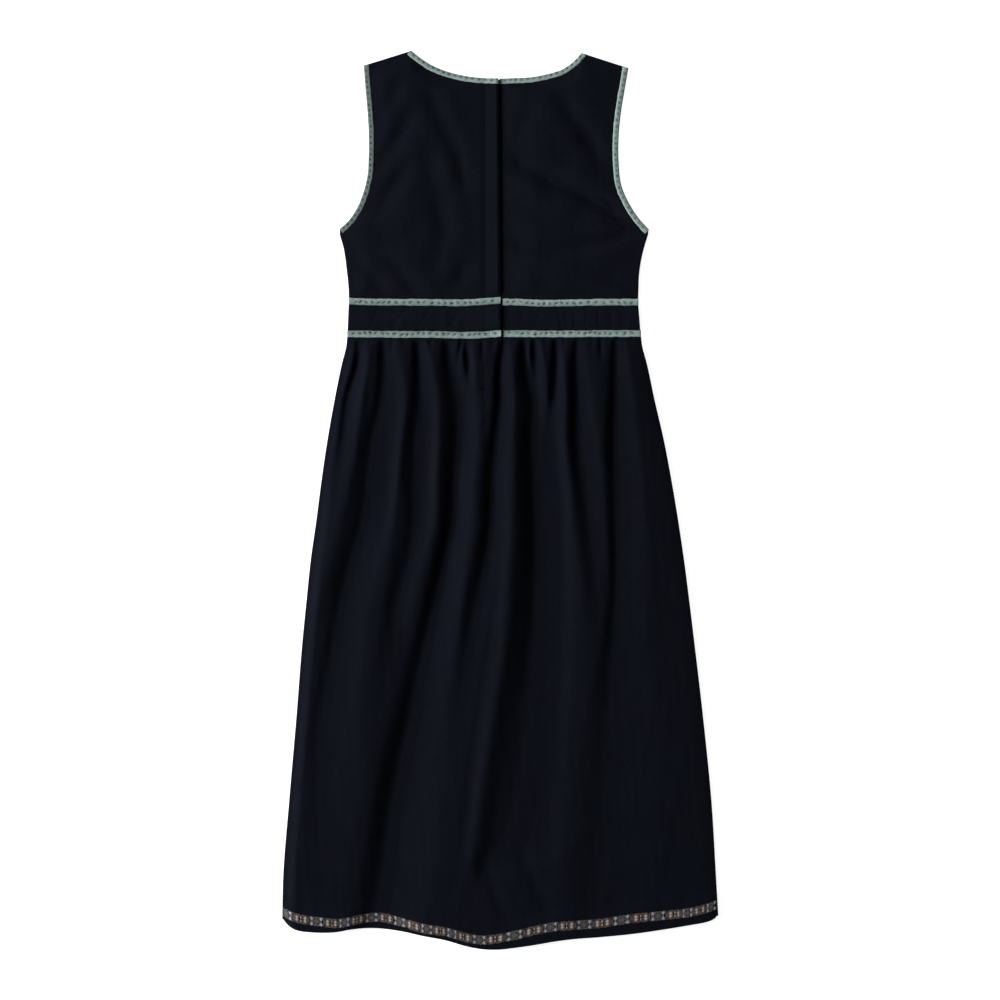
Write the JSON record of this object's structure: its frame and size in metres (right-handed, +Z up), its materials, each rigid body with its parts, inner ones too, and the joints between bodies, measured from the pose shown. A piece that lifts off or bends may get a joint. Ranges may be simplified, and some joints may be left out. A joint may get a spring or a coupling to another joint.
{
  "type": "bunad dress",
  "caption": "Child's sleeveless folk dress in dark cloth, laid flat with its back up: lapped back bodice, waistband between green trims, long gathered skirt with a woven hem ribbon.",
  "frame": {"origin": "on the surface the dress lies on, under the middle of its bounding box", "axes": "+X across the dress to the right as seen from above, +Y from the hem toward the neck, +Z up from the surface; the back of the dress faces up"},
  "size_m": [0.4876, 1.0137, 0.0186],
  "materials": {
    "navy_cloth": "plain woven matt cloth, nearly black navy",
    "sage_trim": "soft ribbed velvet trim, grey green",
    "hem_ribbon": "woven ribbon, black with small pink, white and grey green figures"
  },
  "bodies": {
    "root": {"front_bodice": "navy_cloth", "back_bodice_left": "navy_cloth", "back_bodice_right": "navy_cloth", "waistband_front": "navy_cloth", "waistband_back_left": "navy_cloth", "waistband_back_right": "navy_cloth", "skirt_front": "navy_cloth", "skirt_back": "navy_cloth", "neck_binding_front": "sage_trim", "neck_binding_back_left": "sage_trim", "neck_binding_back_right": "sage_trim", "armhole_binding_front_left": "sage_trim", "armhole_binding_front_right": "sage_trim", "armhole_binding_back_left": "sage_trim", "armhole_binding_back_right": "sage_trim", "waist_trim_upper_front": "sage_trim", "waist_trim_upper_back_left": "sage_trim", "waist_trim_upper_back_right": "sage_trim", "waist_trim_lower_front": "sage_trim", "waist_trim_lower_back_left": "sage_trim", "waist_trim_lower_back_right": "sage_trim", "trim_end_tab": "sage_trim", "hem_ribbon_front": "hem_ribbon", "hem_ribbon_back": "hem_ribbon"}
  },
  "joints": []
}
